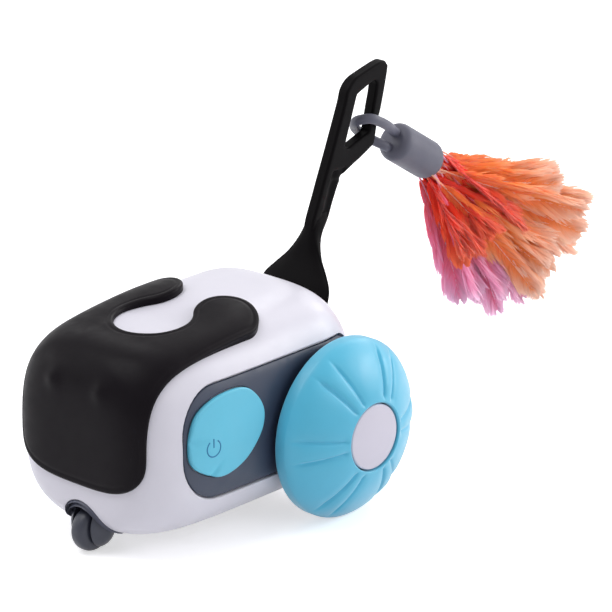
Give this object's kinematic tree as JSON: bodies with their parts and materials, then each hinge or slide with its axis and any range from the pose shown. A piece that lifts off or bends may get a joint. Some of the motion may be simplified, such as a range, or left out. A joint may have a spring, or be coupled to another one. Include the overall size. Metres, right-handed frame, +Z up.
{
  "type": "remote control cat toy car",
  "caption": "Two-wheeled cat toy car with a cat-face cover, a front caster, a power pad and a tail holding a swinging bunch of dyed feathers.",
  "frame": {"origin": "on the ground under the middle of the bounding box", "axes": "+Z up, -Y towards the nose, +X towards the car's own left side, where the power pad is"},
  "size_m": [0.0884, 0.1998, 0.11],
  "materials": {
    "shell_white": "satin",
    "mask_black": "gloss",
    "slate": "satin",
    "pad_blue": "satin",
    "tyre_blue": "satin",
    "cap_lilac": "satin",
    "tail_black": "gloss",
    "grey_rubber": "satin",
    "steel": "satin",
    "brass": "satin",
    "nylon": "satin",
    "board_green": "satin",
    "battery_foil": "satin",
    "feather_orange": "matte",
    "feather_red": "matte",
    "feather_pink": "matte"
  },
  "bodies": {
    "car": {"axle_bush_left": "brass", "axle_bush_right": "brass", "battery": "battery_foil", "belly_plate": "shell_white", "belly_screw_1": "steel", "belly_screw_2": "steel", "belly_screw_3": "steel", "belly_screw_4": "steel", "body_shell": "shell_white", "caster_collar": "slate", "circuit_board": "board_green", "face_mask": "mask_black", "motor_frame": "slate", "motor_left": "steel", "motor_right": "steel", "side_panel_left": "slate", "side_panel_right": "slate", "tact_switch": "mask_black", "tail": "tail_black", "usb_port": "steel"},
    "left_wheel": {"tyre_left": "tyre_blue", "wheel_core_left": "slate", "hub_cap_left": "cap_lilac", "axle_left": "steel", "drive_gear_left": "nylon"},
    "right_wheel": {"tyre_right": "tyre_blue", "wheel_core_right": "slate", "hub_cap_right": "cap_lilac", "axle_right": "steel", "drive_gear_right": "nylon"},
    "left_pinion": {"motor_pinion_left": "nylon"},
    "right_pinion": {"motor_pinion_right": "nylon"},
    "swivel": {"caster_fork": "slate", "caster_axle": "steel"},
    "front_wheel": {"caster_wheel": "slate"},
    "button": {"power_button": "pad_blue"},
    "flap": {"port_cover": "pad_blue"},
    "lure": {"feather_strap": "grey_rubber", "feather_holder": "grey_rubber", "feather_orange": "feather_orange", "feather_red": "feather_red", "feather_pink": "feather_pink"}
  },
  "joints": [
    {"name": "left_wheel_spin", "type": "hinge", "parent": "car", "child": "left_wheel", "pos_m": [0, -0.0307, 0.025], "axis": [1, 0, 0], "continuous": true},
    {"name": "right_wheel_spin", "type": "hinge", "parent": "car", "child": "right_wheel", "pos_m": [0, -0.0307, 0.025], "axis": [1, 0, 0], "continuous": true},
    {"name": "left_pinion_spin", "type": "hinge", "parent": "car", "child": "left_pinion", "pos_m": [0, -0.0427, 0.025], "axis": [1, 0, 0], "continuous": true},
    {"name": "right_pinion_spin", "type": "hinge", "parent": "car", "child": "right_pinion", "pos_m": [0, -0.0427, 0.025], "axis": [1, 0, 0], "continuous": true},
    {"name": "caster_swivel", "type": "hinge", "parent": "car", "child": "swivel", "pos_m": [0, -0.0932, 0], "axis": [0, 0, 1], "continuous": true},
    {"name": "caster_roll", "type": "hinge", "parent": "swivel", "child": "front_wheel", "pos_m": [0, -0.094, 0.0061], "axis": [1, 0, 0], "continuous": true},
    {"name": "button_press", "type": "slide", "parent": "car", "child": "button", "axis": [-1, 0, 0], "range_m": [0, 0.0007], "stiffness_N_per_m": 800},
    {"name": "port_cover_open", "type": "hinge", "parent": "car", "child": "flap", "pos_m": [-0.02725, -0.08796, 0.0345], "axis": [0, 0, 1], "range_deg": [0, 90]},
    {"name": "lure_swing", "type": "hinge", "parent": "car", "child": "lure", "pos_m": [0, 0.0167, 0.093], "axis": [0, 0.2371, 0.9715], "range_deg": [-25, 25]}
  ],
  "couplings": [
    {"joint": "left_pinion_spin", "follows": "left_wheel_spin", "ratio": -4},
    {"joint": "right_pinion_spin", "follows": "right_wheel_spin", "ratio": -4}
  ]
}
